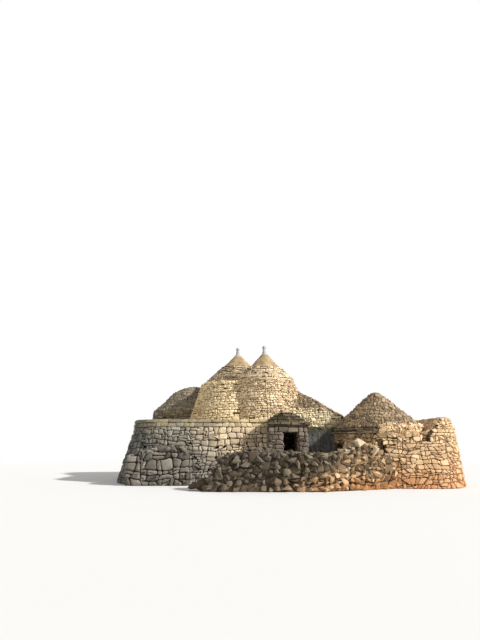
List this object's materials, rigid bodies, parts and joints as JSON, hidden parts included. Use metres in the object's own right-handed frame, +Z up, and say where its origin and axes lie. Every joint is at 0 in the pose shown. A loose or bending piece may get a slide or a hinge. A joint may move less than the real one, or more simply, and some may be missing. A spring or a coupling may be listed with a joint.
{
  "type": "trullo house",
  "caption": "Dry-stone trullo house: battered base, corbelled drums with conical roofs, a low side cone, a small porch and a rubble yard wall.",
  "frame": {"origin": "ground level under the middle of the whole plan", "axes": "+X to the right along the front, +Y from the door to the back, +Z up"},
  "size_m": [13.9, 11, 6.5],
  "materials": {
    "grey_limestone": "matte",
    "warm_limestone": "matte",
    "pale_slabs": "matte",
    "floor_stone": "satin",
    "mortar_cap": "matte",
    "lime_pinnacle": "matte",
    "old_plaster": "matte",
    "red_rubble": "matte",
    "yard_rubble": "matte"
  },
  "bodies": {
    "root": {"left_wall": "grey_limestone", "back_wall_left": "grey_limestone", "back_wall_right": "grey_limestone", "rear_side_wall": "grey_limestone", "cross_wall_left": "grey_limestone", "cross_wall_right": "grey_limestone", "left_room_wall": "grey_limestone", "alcove_wall": "grey_limestone", "alcove_vault": "grey_limestone", "annex_base": "grey_limestone", "porch_left_pier": "grey_limestone", "porch_right_pier": "grey_limestone", "left_buttress": "grey_limestone", "right_back_wall": "grey_limestone", "right_yard_wall": "grey_limestone", "front_wall": "warm_limestone", "terrace_left": "warm_limestone", "terrace_rear": "warm_limestone", "terrace_front": "warm_limestone", "front_drum": "warm_limestone", "front_cone": "warm_limestone", "rear_drum": "warm_limestone", "rear_haunch": "warm_limestone", "rear_cone": "warm_limestone", "left_drum": "warm_limestone", "left_dome": "warm_limestone", "right_front_wall": "warm_limestone", "right_end_wall": "warm_limestone", "right_end_crest": "warm_limestone", "right_cone": "warm_limestone", "annex_wall": "warm_limestone", "porch_hood": "warm_limestone", "door_lintels": "pale_slabs", "porch_cornice": "pale_slabs", "capping_slabs": "pale_slabs", "right_eave_slabs": "pale_slabs", "stone_floors": "floor_stone", "front_cap": "mortar_cap", "rear_cap": "mortar_cap", "front_pinnacle": "lime_pinnacle", "rear_pinnacle": "lime_pinnacle", "facade_wall": "old_plaster", "annex_roof": "red_rubble", "yard_wall": "yard_rubble", "fallen_stones": "yard_rubble"}
  },
  "joints": []
}
